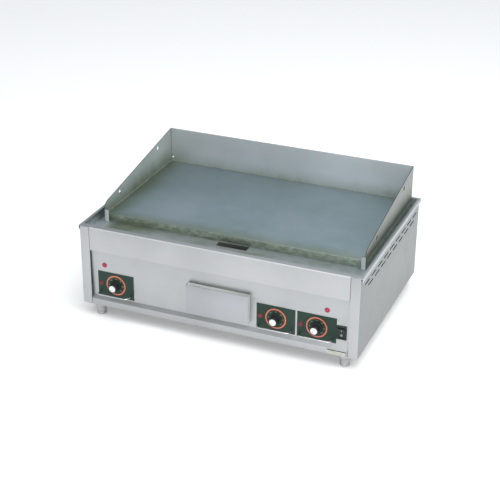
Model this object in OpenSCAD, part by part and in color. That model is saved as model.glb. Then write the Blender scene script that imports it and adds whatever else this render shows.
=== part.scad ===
// Countertop electric griddle: a stainless cabinet on four feet, a sunken grease pan,
// a thick steel plate with a three-sided splash guard, three heating zones with their
// thermostats, and a grease drawer.
// X runs along the width, Y from the front to the back and Z up from the bench.
// Inside the modules y = 0 is the front face of the cabinet; place() centres the whole.

/* [Body] */
// Width over the rim's two side lips
overall_w = 900; // [820:5:1100]
// Depth of the cabinet, without the rim's back lip
body_d = 600; // [560:5:750]
// Height of the fascia, from its lower edge to the rim
fascia_h = 78; // [70:1:110]
// Sheet thickness of the cabinet
sheet_t = 1.5; // [1:0.1:2]
// How far the rim's lip hangs out past the cabinet's sides
lip_out = 4; // [3:0.5:8]
// Height of the rim's lip
lip_h = 14; // [8:1:20]
// Width of the two front posts
post_w = 30; // [24:1:40]
// How far the posts fold back
post_return = 18; // [12:1:18]
// Gap between the posts and the panels that sit between them
panel_gap = 1.2; // [0.5:0.1:3]

/* [Side slots] */
// Length of one cooling slot
slot_l = 45; // [30:1:55]
// Height of one cooling slot
slot_h = 5; // [3:0.5:8]
// Depth of the upper row below the rim
slot_drop = 36.5; // [30:0.5:45]
// Distance between the two rows
slot_row = 17; // [10:1:25]
// Centre of the upper row's first slot behind the cabinet's front
slot_first = 60.5; // [50:0.5:80]
// Centre of its last slot ahead of the cabinet's back
slot_last = 51.5; // [40:0.5:80]
// Slots in the upper row
slot_count = 9; // [4:1:9]

/* [Top pan] */
// Depth of the grease gutter below the rim
pan_depth = 32; // [24:1:34]
// Width of the flat strip along the front rim
rim_front = 18; // [12:1:25]
// Width of the rim along the sides and the back
rim_side = 8.5; // [8:0.5:12]
// Width of the drain slot
drain_w = 100; // [60:1:140]
// Length of the drain slot, front to back
drain_l = 30; // [15:1:40]
// Ledge of the gutter that carries the plate
pan_ledge = 14; // [8:1:20]

/* [Griddle plate] */
// Width of the gutter along each side of the plate
side_gutter = 19.5; // [12:0.5:40]
// Front edge of the plate behind the front of the cabinet
plate_front = 125; // [110:1:160]
// Gap between the plate's back edge and the pan's back wall
plate_back_gap = 2; // [1:0.5:8]
// Thickness of the plate
plate_t = 19; // [12:1:20]
// Cooking surface below the rim
plate_drop = 7; // [5:1:12]
// Width of the bars that raise the plate off the gutter
frame_w = 12; // [8:1:16]

/* [Splash guard] */
// Height of the guard's back above the cooking surface
guard_h = 117; // [80:1:150]
// Height of the guard's sides at their low front shoulder
guard_front_h = 43; // [30:1:60]
// Where that shoulder is, behind the guard's front end
guard_shoulder = 35; // [27:1:60]
// Guard's front end ahead of the plate
guard_ahead = 10; // [5:1:20]
// Radius of the rounded front corner
guard_r = 25; // [10:1:27]
// Sheet thickness of the guard
guard_t = 2; // [1.5:0.1:3]
// Width of the flange turned in at the front end of each side
guard_tab = 14; // [8:1:20]
// Diameter of the two lifting holes in each side
lift_hole_d = 14; // [8:0.5:18]
// Distance of the lifting holes below the top edge
lift_hole_drop = 19; // [14:1:25]
// Distance between the two lifting holes
lift_hole_pitch = 275; // [200:5:320]
// Diameter of the relief hole at each foot of the guard's back
relief_d = 7; // [4:0.5:10]

/* [Front] */
// Height of the cabinet's front below the fascia
panel_h = 184; // [180:1:240]
// Depth of the control panel behind the front
recess = 8; // [5:0.5:12]
// Height of the bottom flange that stands flush with the posts
toe_h = 20; // [18:1:24]
// Height where the slope above that flange meets the panel
ledge_h = 31; // [26:1:33]

/* [Controls] */
// Width of a control plate
cplate_w = 121; // [112:1:126]
// Height of a control plate
cplate_h = 81.5; // [76:0.5:98]
// Left control plate's edge in from the panel's edge
cplate_in = 20.3; // [16:0.1:60]
// Gap between the two control plates on the right
cplate_gap = 6; // [1:0.5:12]
// Lower edge of the control plates above the ledge
cplate_up = 3.75; // [3:0.25:10]
// Thickness of a control plate
cplate_t = 1; // [0.6:0.1:2]
// Radius of a knob's body
knob_r = 14; // [12:0.5:18]
// Knob's face in front of the control panel
knob_reach = 27; // [22:1:32]
// Radius of the pale cap in a knob's face
knob_cap_r = 10.5; // [8:0.5:11]
// Radius of a thermostat shaft
shaft_r = 3; // [2.5:0.1:4]
// Radial play of the shaft in its bush
shaft_play = 0.05; // [0.02:0.01:0.09]
// Radius of a pilot lamp's lens
lamp_r = 8; // [6:0.5:9]
// Pilot lamp's distance from the left edge of its control plate
lamp_in = 11.5; // [10:0.5:14]
// Left power lamp to the left of its dial
power_lamp_left = 37; // [10:1:60]
// Right power lamp to the right of its dial
power_lamp_right = 30; // [10:1:50]
// Power lamps above the control plates
power_lamp_up = 21.75; // [14:0.25:30]
// Width of the power switch
switch_w = 30; // [26:1:32]
// Height of the power switch
switch_h = 43.5; // [38:0.5:48]
// Power switch in from the panel's right edge
switch_in = 6.8; // [3:0.1:15]
// Gap between the power switch and the control plate beside it
switch_gap = 0.5; // [0.5:0.1:6]

/* [Knob guards] */
// Distance between a guard bar's two legs
bar_w = 100; // [90:1:110]
// Guard bar's axis in front of the control panel
bar_reach = 28; // [25:1:34]
// Radius of the bar
bar_r = 2.75; // [2:0.25:4]
// Bars above the lower edge of the control plates
bar_up = 14.75; // [8:0.25:18]
// Radius of the bends
bar_bend = 9; // [6:0.5:12]

/* [Grease drawer] */
// Width of the drawer's front
drawer_w = 200; // [150:1:240]
// Height of the drawer's front
drawer_h = 93; // [80:1:100]
// Lower edge of the drawer's front above the ledge
drawer_up = 14; // [11:1:20]
// Middle of the drawer and of the drain slot, to the right of the cabinet's middle
drawer_x = 9; // [-12:1:12]
// Finger pocket in the top of the front, front to back
pull_d = 15; // [13:1:20]
// Depth of the finger pocket
pull_deep = 32; // [25:1:50]
// Length of the drawer's pan
drawer_l = 385; // [300:5:470]
// Sheet thickness of the drawer
drawer_t = 1.2; // [0.8:0.1:2]
// Play between the drawer and its rails
drawer_play = 0.3; // [0.2:0.1:0.5]

/* [Heating] */
// Radius of a heating element's sheath
element_r = 4.25; // [3:0.25:5]
// Distance between an element's legs
element_pitch = 40; // [36:1:44]
// Thickness of the insulation board
board_t = 30; // [20:1:34]

/* [Feet] */
// Height of the cabinet above the bench
foot_h = 43; // [43:1:60]
// Radius of a levelling foot
foot_r = 15; // [12:0.5:16]
// Height of the tapered foot sockets
socket_h = 18; // [16:1:22]
// Radius of a socket where it meets the cabinet
socket_r = 25; // [22:0.5:25]
// Feet in from the rim's side lips
foot_in = 50; // [50:1:80]
// Feet in from the cabinet's front and back
foot_y = 30; // [30:1:70]
// How far a foot winds into its socket
foot_travel = 9; // [4:1:10]

/* [Rear] */
// Outer reach of the cable gland behind the cabinet
gland_out = 22.75; // [15:0.25:30]
// Radius of the cable gland's bore
gland_bore_r = 8; // [5:0.5:10]
// Gland in from the side panel
gland_in = 114.5; // [80:0.5:180]
// Height of the gland above the cabinet's bottom edge
gland_z = 70; // [60:1:120]

/* [Hidden] */
$fn = 64;
eps = 0.01;

// Cabinet
body_h = panel_h + fascia_h;
body_x = overall_w / 2 - lip_out;      // outer face of a side panel
side_in = body_x - sheet_t;            // its inner face
rim_z = foot_h + body_h;
bottom_z = foot_h;
deck_z = rim_z - sheet_t;              // underside of the rim's sheet
skin_top = deck_z - 0.1;
post_x = body_x - post_w;              // inner edge of a front post
panel_x = post_x - panel_gap;          // half width of the fascia and the control panel
flange_w = 18;
screw_r = 2;
slot_pitch = (body_d - slot_first - slot_last) / (slot_count - 1);
base_z = bottom_z + sheet_t;           // underside of the base pan
base_top = base_z + sheet_t;
rear_y = body_d - sheet_t;             // inner face of the rear panel

// Front
panel_z = bottom_z + panel_h;          // lower edge of the fascia
toe_z = bottom_z + toe_h;
ledge_z = bottom_z + ledge_h;
panel_back = recess + sheet_t;
cplate_z = ledge_z + cplate_up;        // lower edge of the control plates
cplate_top = cplate_z + cplate_h;
knob_z = cplate_z + cplate_h / 2;
switch_x = panel_x - switch_in - switch_w / 2;
dial_right = switch_x - switch_w / 2 - switch_gap - cplate_w / 2;
dial_x = [cplate_in + cplate_w / 2 - panel_x, dial_right - cplate_w - cplate_gap, dial_right];
power_lamp_x = [dial_x[0] - power_lamp_left, dial_right + power_lamp_right];
power_lamp_z = cplate_top + power_lamp_up;
bar_z = cplate_z + bar_up;
plate_face = recess - cplate_t;        // front of a control plate
front_rail_y = post_return + 1;
front_rail_h = fascia_h - pan_depth - 12;

// Pan and plate
floor_z = rim_z - pan_depth;           // top of the gutter's floor
floor_under = floor_z - sheet_t;
pan_x = overall_w / 2 - rim_side;      // gutter's side wall, inner face
pan_back = body_d + lip_out - rim_side - sheet_t;
plate_x = pan_x - side_gutter;
plate_top = rim_z - plate_drop;
plate_under = plate_top - plate_t;
plate_back = pan_back - plate_back_gap;
plate_l = plate_back - plate_front;
frame_in = 1;                          // the bars stand back under the plate's edge
window_x = plate_x - pan_ledge;
window_front = plate_front + pan_ledge;
window_back = plate_back - pan_ledge;
drain_back = plate_front + 1;
drain_front = drain_back - drain_l;

// Guard
guard_top = plate_top + guard_h;
guard_front = plate_front - guard_ahead;
shoulder_y = guard_front + guard_shoulder;
shoulder_z = plate_top + guard_front_h;
guard_slope = (guard_top - shoulder_z) / (plate_back - shoulder_y);
guard_arc_z = shoulder_z + guard_slope * (guard_r - guard_shoulder)
  - guard_r * sqrt(1 + guard_slope * guard_slope);
lift_hole_y = guard_front + 100;

// Heating
zone_pitch = 2 * window_x / 3;
element_z = plate_under - element_r - 0.15;
element_front = window_front + 36;     // where the front bends start
element_back = window_back - 36;
clamp_t = 4;
clamp_w = 28;
clamp_top = element_z - element_r - 0.1;
clamp_y = [element_front + 65, element_back - 65];
stud_r = 4;
stud_end = clamp_top - clamp_t - 11;
nut_r = 7.5;
nut_h = 6.5;
tray_z = stud_end - 6 - board_t - sheet_t;
tray_x = window_x + 1;
terminal_end = tray_z - 22;
terminal_y = window_front + 12;
bulb_r = 3;
tube_r = 1.25;
tube_y = element_front + 25;
tube_z = tray_z - 14;
hole_play = 2.75;

// Controls
bush_r = 4.75;
thermo_w = 42;
thermo_h = 40;
thermo_d = 38;
knob_back = plate_face - 1.2;
knob_face = recess - knob_reach;
cap_t = 1.5;
shaft_in = 20;                         // shaft inside the thermostat
nut_out = 2.4;
bush_nut_r = 8;
bush_end = plate_face - nut_out - 0.3; // the bush ends just past its nut
lamp_dome = 4;
lamp_body_r = lamp_r - 1.5;
lamp_body_l = 24;
switch_front = recess - 3;
rocker_w = switch_w - 10;
rocker_h = switch_h - 12;
switch_body_d = 24;
switch_z = knob_z - 2;
rocker_play = 0.4;

// Drawer
drawer_front_y = recess - 0.5 - drawer_t - pull_d - drawer_t;
drawer_back_y = recess - 0.5;
drawer_bottom = ledge_z + drawer_up;
rail_t = 1.5;
rail_leg = 15;
pan_bottom = drawer_bottom + 4.5;
drawer_deep = drawer_h - 20;           // the pan's rim is below the front's
pan_half = drawer_w / 2 - 6;
rail_x = pan_half + 2;
cut_half = drawer_w / 2 - 2.5;
rail_l = drawer_l + 10;
chute_t = 1.2;
chute_z = drawer_bottom + drawer_h + 9;
chute_play = 0.2;

// Overall depth is centred on the origin
front_out = bar_reach - recess + bar_r;
front_y = front_out - (front_out + body_d + gland_out) / 2;

foot_at = [[-1, 0], [1, 0], [-1, 1], [1, 1]];
foot_x = overall_w / 2 - foot_in;
gland_x = side_in - gland_in;
socket_end = foot_h - socket_h;

module place() {
  translate([0, front_y, 0]) children();
}

// A box given by its low corner and its high corner
module block(a, b) {
  translate(a) cube(b - a);
}

// A cylinder along +Y from y0 to y1
module bar_y(x, z, r, y0, y1) {
  translate([x, y0, z]) rotate([-90, 0, 0]) cylinder(r = r, h = y1 - y0);
}

// A profile drawn in Y and Z, extruded along X
module along_x(x0, x1) {
  translate([x0, 0, 0]) rotate([90, 0, 90]) linear_extrude(x1 - x0) children();
}

// A round rod from a to b
module rod(a, b, r) {
  v = b - a;
  translate(a) rotate([0, acos(v[2] / norm(v)), atan2(v[1], v[0])])
    cylinder(r = r, h = norm(v), $fn = 24);
}

// A tube that turns sharp corners, with a slightly larger ball at each corner
module tube_path(points, r) {
  for (i = [0 : len(points) - 2]) rod(points[i], points[i + 1], r);
  for (i = [1 : len(points) - 2]) translate(points[i]) sphere(r = r + 0.25, $fn = 24);
}

// A slot with round ends, cut along X
module side_slot(y, z) {
  r = slot_h / 2;
  translate([side_in - 5, y, z]) rotate([0, 90, 0]) {
    for (s = [-1, 1]) translate([0, s * (slot_l / 2 - r), 0]) cylinder(r = r, h = 10);
    translate([-r, r - slot_l / 2, 0]) cube([slot_h, slot_l - slot_h, 10]);
  }
}

// ---- cabinet ----

module base_pan() {
  x = side_in - 0.5;
  y0 = 14.5;
  y1 = rear_y - sheet_t - 0.5;
  lip = 14;
  color("silver") place() difference() {
    block([-x, y0, base_z], [x, y1, base_top + lip]);
    block([sheet_t - x, y0 + sheet_t, base_top], [x - sheet_t, y1 - sheet_t, base_top + lip + 1]);
    // Corners notched round the posts
    for (s = [-1, 1]) translate([s * (post_x + post_w / 2), y0, base_z + lip])
      cube([post_w + 4, 2 * (post_return + 1 - y0), 3 * lip], center = true);
    for (i = [-6 : 6]) if (abs(i) > 1) {
      block([i * 50 - 3, body_d * 0.55, base_z - 1], [i * 50 + 3, body_d * 0.55 + 60, base_top + 1]);
    }
  }
}

module side_panel() {
  difference() {
    union() {
      block([side_in, 0, bottom_z], [body_x, rear_y, skin_top]);
      // Front post: face and return
      block([post_x, 0, bottom_z], [side_in + eps, sheet_t, skin_top]);
      block([post_x, 0, bottom_z], [post_x + sheet_t, post_return, skin_top - pan_depth - 8]);
      // Bottom and rear flanges
      block([body_x - flange_w, post_return + 6, bottom_z], [side_in + eps, rear_y, base_z]);
      block([body_x - flange_w, rear_y - sheet_t, base_z - eps], [side_in + eps, rear_y, floor_under - 4]);
    }
    for (k = [0 : 3]) {
      bar_y(side_in - 10, bottom_z + 30 + k * (body_h - 76) / 3, screw_r + 0.15, rear_y - 9, rear_y + 1);
    }
    for (i = [0 : slot_count - 1]) {
      side_slot(slot_first + i * slot_pitch, rim_z - slot_drop);
    }
    for (i = [0 : slot_count - 2]) {
      side_slot(slot_first + (i + 0.55) * slot_pitch, rim_z - slot_drop - slot_row);
    }
  }
}

module side_panel_right() {
  color("gainsboro") place() side_panel();
}

module side_panel_left() {
  color("gainsboro") place() mirror([1, 0, 0]) side_panel();
}

module rear_panel() {
  vent_w = 44;
  color("gainsboro") place() difference() {
    block([-side_in, rear_y, base_z], [side_in, body_d, skin_top]);
    for (i = [-5 : 5], k = [0, 1]) {
      block([i * 66 - vent_w / 2, rear_y - 1, bottom_z + 150 + k * 24],
        [i * 66 + vent_w / 2, body_d + 1, bottom_z + 155 + k * 24]);
    }
    bar_y(gland_x, bottom_z + gland_z, gland_bore_r + 4.2, rear_y - 1, body_d + 1);
    rear_screw_places() bar_y(0, 0, screw_r + 0.15, rear_y - 1, body_d + 1);
  }
}

// The rear panel's screws, four down each side
module rear_screw_places() {
  for (s = [-1, 1], k = [0 : 3]) {
    translate([s * (side_in - 10), 0, bottom_z + 30 + k * (body_h - 76) / 3]) children();
  }
}

module rear_screws() {
  color("lightgray") place() rear_screw_places() {
    bar_y(0, 0, 2 * screw_r, body_d, body_d + 2.4);
    bar_y(0, 0, screw_r, body_d - 8, body_d + eps);
  }
}

module front_rail() {
  color("silver") place() {
    block([-side_in, front_rail_y, panel_z + 2], [side_in, front_rail_y + sheet_t, panel_z + front_rail_h]);
    block([-side_in, front_rail_y + sheet_t - eps, panel_z + 2],
      [side_in, front_rail_y + 24, panel_z + 2 + sheet_t]);
  }
}

module front_fascia() {
  color("whitesmoke") place() along_x(-panel_x, panel_x) polygon([
    [0, panel_z], [front_rail_y - 0.3, panel_z], [front_rail_y - 0.3, panel_z + sheet_t],
    [sheet_t, panel_z + sheet_t], [sheet_t, rim_z], [0, rim_z]
  ]);
}

module control_panel() {
  s = sheet_t;
  top = panel_z - 0.3;
  color("whitesmoke") place() difference() {
    along_x(-panel_x, panel_x) polygon([
      [recess, top], [recess, ledge_z], [0, toe_z], [0, bottom_z], [14, bottom_z],
      [14, bottom_z + s], [s, bottom_z + s], [s, toe_z - s / 2], [recess + s, ledge_z - s / 2],
      [recess + s, top - s], [recess + 20, top - s], [recess + 20, top]
    ]);
    for (x = dial_x) {
      bar_y(x, knob_z, bush_r + 0.2, -1, panel_back + 1);
      bar_y(x - cplate_w / 2 + lamp_in, knob_z, lamp_body_r + 0.2, -1, panel_back + 1);
      for (k = [-1, 1]) bar_y(x + k * bar_w / 2, bar_z, bar_r + 0.1, -1, panel_back + 1);
    }
    for (x = power_lamp_x) bar_y(x, power_lamp_z, lamp_body_r + 0.2, -1, panel_back + 1);
    block([switch_x - switch_w / 2 + 2, -1, switch_z - switch_h / 2 + 2],
      [switch_x + switch_w / 2 - 2, panel_back + 1, switch_z + switch_h / 2 - 2]);
    block([drawer_x - cut_half, -1, drawer_bottom + 2],
      [drawer_x + cut_half, panel_back + 1, drawer_bottom + drawer_h - 11]);
  }
}

module rating_plate() {
  x0 = panel_x - 62;
  color("beige") place() block([x0, -0.8, bottom_z + 3], [x0 + 60, 0, bottom_z + toe_h - 3]);
}

// ---- sunken grease pan ----

module top_pan() {
  outer = overall_w / 2;
  back = body_d + lip_out;
  wall = pan_x + sheet_t;
  front_in = rim_front;
  color("silver") place() difference() {
    union() {
      // Rim with its hanging lip on both sides and the back
      block([-outer, sheet_t, rim_z - lip_h], [outer, back, rim_z]);
      for (s = [-1, 1]) {
        translate([s * (outer - (outer - panel_x) / 2), sheet_t / 2, rim_z - sheet_t / 2])
          cube([outer - panel_x, sheet_t + eps, sheet_t], center = true);
      }
      block([-wall, front_in, floor_under], [wall, pan_back + sheet_t, rim_z]);
    }
    // Under the rim
    difference() {
      block([-outer + sheet_t, 0, rim_z - lip_h - 1], [outer - sheet_t, back - sheet_t, deck_z]);
      block([-wall, front_in, floor_under - 1], [wall, pan_back + sheet_t, rim_z]);
    }
    // Gutter
    block([-pan_x, front_in + sheet_t, floor_z], [pan_x, pan_back, rim_z + 1]);
    // Window under the plate and the drain slot
    block([-window_x, window_front, floor_under - 1], [window_x, window_back, floor_z + 1]);
    block([drawer_x - drain_w / 2, drain_front, floor_under - 1],
      [drawer_x + drain_w / 2, drain_back, floor_z + 1]);
  }
}

module drain_chute() {
  t = chute_t;
  g = chute_play;
  w = drain_w / 2 - g;
  y0 = drain_front + g;
  y1 = drain_back - g;
  color("silver") place() translate([drawer_x, 0, 0]) difference() {
    union() {
      block([-w, y0, chute_z], [w, y1, floor_z - 0.5]);
      block([-w - 10, y0 - 10, floor_under - t], [w + 10, y1, floor_under]);
    }
    block([-w + t, y0 + t, chute_z - 1], [w - t, y1 - t, floor_z + 1]);
  }
}

// ---- plate and guard ----

module griddle_plate() {
  color("slategray") place()
    block([-plate_x, plate_front, plate_under], [plate_x, plate_back, plate_top]);
}

module plate_frame() {
  x = plate_x - frame_in;
  y0 = plate_front + frame_in + 1;
  y1 = plate_back - frame_in;
  color("dimgray") place() difference() {
    block([-x, y0, floor_z], [x, y1, plate_under]);
    block([frame_w - x, y0 + frame_w, floor_z - 1], [x - frame_w, y1 - frame_w, plate_under + 1]);
  }
}

module guard_back() {
  x = plate_x - guard_t;
  color("lightgray") place() difference() {
    block([-x, plate_back - guard_t, plate_top], [x, plate_back, guard_top]);
    for (s = [-1, 1])
      bar_y(s * (x - 6), plate_top + 13, relief_d / 2, plate_back - guard_t - 1, plate_back + 1);
  }
}

module guard_side() {
  arc_y = guard_front + guard_r;
  tip = [arc_y - guard_r * guard_slope / sqrt(1 + guard_slope * guard_slope),
    guard_arc_z + guard_r / sqrt(1 + guard_slope * guard_slope)];
  difference() {
    union() {
      along_x(plate_x - guard_t, plate_x) {
        polygon([
          [guard_front, floor_z + 0.2], [plate_front - 0.2, floor_z + 0.2],
          [plate_front - 0.2, plate_top], [plate_back, plate_top], [plate_back, guard_top],
          tip, [arc_y, guard_arc_z], [guard_front, guard_arc_z]
        ]);
        intersection() {
          translate([arc_y, guard_arc_z]) circle(r = guard_r);
          translate([guard_front - 1, guard_arc_z - eps]) square(2 * guard_r);
        }
      }
      // Flange in front of the plate's corner
      block([plate_x - guard_tab, guard_front, floor_z + 0.2],
        [plate_x - guard_t + eps, guard_front + guard_t, guard_arc_z]);
    }
    for (k = [0, 1]) {
      y = lift_hole_y + k * lift_hole_pitch;
      z = shoulder_z + guard_slope * (y - shoulder_y) - lift_hole_drop;
      translate([plate_x - guard_t - 1, y, z]) rotate([0, 90, 0])
        cylinder(r = lift_hole_d / 2, h = guard_t + 2);
    }
  }
}

module guard_right() {
  color("lightgray") place() guard_side();
}

module guard_left() {
  color("lightgray") place() mirror([1, 0, 0]) guard_side();
}

// ---- heating ----

// Half a turn of sheath in the XY plane; way = 1 bends to the back, -1 to the front
module element_turn(x, y, way) {
  translate([x, y, element_z]) rotate([0, 0, way > 0 ? 0 : 180])
    rotate_extrude(angle = 180) translate([element_pitch / 2, 0]) circle(r = element_r, $fn = 24);
}

module element(zone) {
  x0 = zone * zone_pitch;
  r = 12;
  color("dimgray") place() {
    for (k = [-1.5, -0.5, 0.5, 1.5]) {
      x = x0 + k * element_pitch;
      bar_y(x, element_z, element_r, abs(k) > 1 ? terminal_y + r : element_front, element_back);
    }
    for (k = [-1, 1]) element_turn(x0 + k * element_pitch, element_back, 1);
    element_turn(x0, element_front, -1);
    for (k = [-1.5, 1.5]) {
      x = x0 + k * element_pitch;
      translate([x, terminal_y + r, element_z - r]) rotate([0, 0, 90]) rotate([90, 0, 0])
        rotate([0, 0, 90]) rotate_extrude(angle = 90) translate([r, 0]) circle(r = element_r, $fn = 24);
      translate([x, terminal_y, terminal_end]) cylinder(r = element_r, h = element_z - r - terminal_end);
    }
  }
}

module element_clamps() {
  w = 1.5 * element_pitch + 12;
  color("silver") place() for (zone = [-1 : 1], y = clamp_y) difference() {
    block([zone * zone_pitch - w, y - clamp_w / 2, clamp_top - clamp_t],
      [zone * zone_pitch + w, y + clamp_w / 2, clamp_top]);
    for (k = [-1, 1]) translate([zone * zone_pitch + k * element_pitch, y, clamp_top - clamp_t - 1])
      cylinder(r = stud_r + 0.3, h = clamp_t + 2);
  }
}

module plate_studs() {
  color("silver") place() for (zone = [-1 : 1], y = clamp_y, k = [-1, 1])
    translate([zone * zone_pitch + k * element_pitch, y, stud_end])
      cylinder(r = stud_r, h = plate_under - stud_end);
}

module stud_nuts() {
  color("silver") place() for (zone = [-1 : 1], y = clamp_y, k = [-1, 1])
    translate([zone * zone_pitch + k * element_pitch, y, clamp_top - clamp_t - nut_h]) difference() {
      cylinder(r = nut_r, h = nut_h, $fn = 6);
      translate([0, 0, -1]) cylinder(r = stud_r + 0.05, h = nut_h + 2);
    }
}

// Holes through the tray and the board for the terminals and the sensor tubes
module tray_holes() {
  for (zone = [-1 : 1]) {
    for (k = [-1.5, 1.5]) translate([zone * zone_pitch + k * element_pitch, terminal_y, tray_z - 1])
      cylinder(r = element_r + hole_play, h = board_t + 4);
    translate([zone * zone_pitch, tube_y, tray_z - 1]) cylinder(r = tube_r + hole_play, h = board_t + 4);
  }
}

module heat_tray() {
  t = sheet_t;
  y0 = window_front - 1;
  y1 = window_back + 1;
  color("silver") place() difference() {
    union() {
      block([-tray_x - t, y0 - t, tray_z], [tray_x + t, y1 + t, floor_under]);
      block([-tray_x - 12, y0 - 9, floor_under - t], [tray_x + 12, y1 + 9, floor_under]);
    }
    block([-tray_x, y0, tray_z + t], [tray_x, y1, floor_z]);
    tray_holes();
  }
}

module insulation_board() {
  g = 1.5;
  color("white") place() difference() {
    block([g - tray_x, window_front + g, tray_z + sheet_t],
      [tray_x - g, window_back - g, tray_z + sheet_t + board_t]);
    tray_holes();
  }
}

module sensor_bulbs() {
  color("peru") place() for (i = [0 : 2]) {
    x0 = (i - 1) * zone_pitch;
    z = plate_under - bulb_r - 0.1;
    back = panel_back + thermo_d;
    bar_y(x0, z, bulb_r, element_front + 125, element_front + 205);
    tube_path([
      [x0, element_front + 126, z], [x0, tube_y, z], [x0, tube_y, tube_z],
      [dial_x[i], tube_y, tube_z], [dial_x[i], back + 18, knob_z + 8], [dial_x[i], back, knob_z + 8]
    ], tube_r);
  }
}

// ---- controls ----

module thermostat(i) {
  x = dial_x[i - 1];
  color("ivory") place() difference() {
    union() {
      block([x - thermo_w / 2, panel_back, knob_z - thermo_h / 2],
        [x + thermo_w / 2, panel_back + thermo_d, knob_z + thermo_h / 2]);
      bar_y(x, knob_z, bush_r, bush_end, panel_back + eps);
    }
    bar_y(x, knob_z, shaft_r + shaft_play, bush_end - 1, panel_back + shaft_in + 1);
  }
}

module bush_nuts() {
  y1 = plate_face;
  color("silver") place() for (x = dial_x) difference() {
    translate([x, y1 - nut_out, knob_z]) rotate([-90, 0, 0]) cylinder(r = bush_nut_r, h = nut_out, $fn = 6);
    bar_y(x, knob_z, bush_r + 0.05, -20, 20);
  }
}

module shaft(i) {
  x = dial_x[i - 1];
  color("silver") place() bar_y(x, knob_z, shaft_r, knob_face + 8, panel_back + shaft_in);
}

// Knob: a turned body with a base flange and a fluted grip
module knob(i) {
  x = dial_x[i - 1];
  flange = 2.4;
  depth = knob_back - nut_out - knob_face;
  color([0.08, 0.08, 0.08]) place() translate([x, knob_back - nut_out, knob_z]) rotate([90, 0, 0]) {
    difference() {
      union() {
        cylinder(r = knob_r + 3, h = flange);
        cylinder(r = knob_r, h = depth);
      }
      translate([0, 0, -1]) cylinder(r = shaft_r + 0.02, h = depth - 7);
      translate([0, 0, depth - cap_t]) cylinder(r = knob_cap_r + 0.02, h = cap_t + 1);
      for (a = [0 : 20 : 340]) rotate([0, 0, a]) translate([knob_r + 0.7, 0, flange + 1])
        cylinder(r = 1.5, h = depth, $fn = 24);
    }
  }
}

module knob_cap(i) {
  x = dial_x[i - 1];
  color("white") place() bar_y(x, knob_z, knob_cap_r, knob_face - 0.4, knob_face + cap_t);
}

module control_plate(i) {
  x = dial_x[i - 1];
  color("darkslategray") place() difference() {
    block([x - cplate_w / 2, plate_face, knob_z - cplate_h / 2],
      [x + cplate_w / 2, recess, knob_z + cplate_h / 2]);
    bar_y(x, knob_z, bush_r + 0.2, -1, recess + 1);
    bar_y(x - cplate_w / 2 + lamp_in, knob_z, lamp_body_r + 0.2, -1, recess + 1);
    for (k = [-1, 1]) bar_y(x + k * bar_w / 2, bar_z, bar_r + 0.1, -1, recess + 1);
  }
}

// A lamp whose lens stands on the face at y; its barrel goes through the panel
module lamp(x, y, z) {
  translate([x, y, z]) rotate([90, 0, 0]) rotate_extrude() polygon(concat(
    [[0, y - recess - lamp_body_l], [lamp_body_r, y - recess - lamp_body_l], [lamp_body_r, 0], [lamp_r, 0]],
    [for (a = [0 : 15 : 90]) [lamp_r * cos(a), 1 + (lamp_dome - 1) * sin(a)]]
  ));
}

module heater_lamps() {
  color("firebrick") place() for (x = dial_x) lamp(x - cplate_w / 2 + lamp_in, plate_face, knob_z);
}

module power_lamps() {
  color("crimson") place() for (x = power_lamp_x) lamp(x, recess, power_lamp_z);
}

// Guard bar: one rod with two bent legs that go through the control plate
module guard_bar(i) {
  x0 = dial_x[i - 1];
  z = bar_z;
  y = recess - bar_reach;
  w = bar_w / 2;
  color("lightgray") place() {
    translate([x0 - w + bar_bend, y, z]) rotate([0, 90, 0]) cylinder(r = bar_r, h = 2 * (w - bar_bend));
    for (k = [-1, 1]) {
      bar_y(x0 + k * w, z, bar_r, y + bar_bend, panel_back + 6);
      translate([x0 + k * (w - bar_bend), y + bar_bend, z]) rotate([0, 0, k > 0 ? -90 : 180])
        rotate_extrude(angle = 90) translate([bar_bend, 0]) circle(r = bar_r, $fn = 32);
    }
  }
}

module switch_case() {
  x = switch_x;
  w = switch_w / 2;
  h = switch_h / 2;
  color([0.1, 0.12, 0.11]) place() difference() {
    union() {
      block([x - w, switch_front, switch_z - h], [x + w, recess, switch_z + h]);
      block([x - w + 2.3, recess - eps, switch_z - h + 2.3],
        [x + w - 2.3, recess + switch_body_d, switch_z + h - 2.3]);
    }
    block([x - rocker_w / 2 - rocker_play, switch_front - 1, switch_z - rocker_h / 2 - 1],
      [x + rocker_w / 2 + rocker_play, recess + 13, switch_z + rocker_h / 2 + 1]);
  }
}

// Rocker: a shallow V whose lower half stands flush when the switch is off
module switch_rocker() {
  x = switch_x;
  h = rocker_h / 2;
  color([0.06, 0.07, 0.07]) place() along_x(x - rocker_w / 2, x + rocker_w / 2) polygon([
    [switch_front - 3.5, switch_z + h - 1.2], [switch_front + 1.4, switch_z],
    [switch_front + 0.6, switch_z - h + 1.2], [switch_front + 6, switch_z - h + 1.2],
    [switch_front + 10, switch_z], [switch_front + 6, switch_z + h - 1.2]
  ]);
}

// ---- grease drawer ----

// A box front with the finger pocket in its top; it is open underneath
module drawer_front() {
  t = drawer_t;
  w = drawer_w / 2;
  top = drawer_bottom + drawer_h;
  pocket = top - pull_deep;
  color("whitesmoke") place() translate([drawer_x, 0, 0]) difference() {
    block([-w, drawer_front_y, drawer_bottom], [w, drawer_back_y, top]);
    block([t - w, drawer_front_y + t, pocket], [w - t, drawer_back_y - t, top + 1]);
    block([t - w, drawer_front_y + t, drawer_bottom - 1], [w - t, drawer_back_y - t, pocket - t]);
  }
}

module drawer_pan() {
  t = drawer_t;
  w = pan_half;
  top = pan_bottom + drawer_deep;
  y1 = drawer_back_y + drawer_l;
  color("silver") place() translate([drawer_x, 0, 0]) difference() {
    block([-w, drawer_back_y, pan_bottom], [w, y1, top]);
    block([t - w, drawer_back_y + t, pan_bottom + t], [w - t, y1 - t, top + 1]);
  }
}

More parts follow.
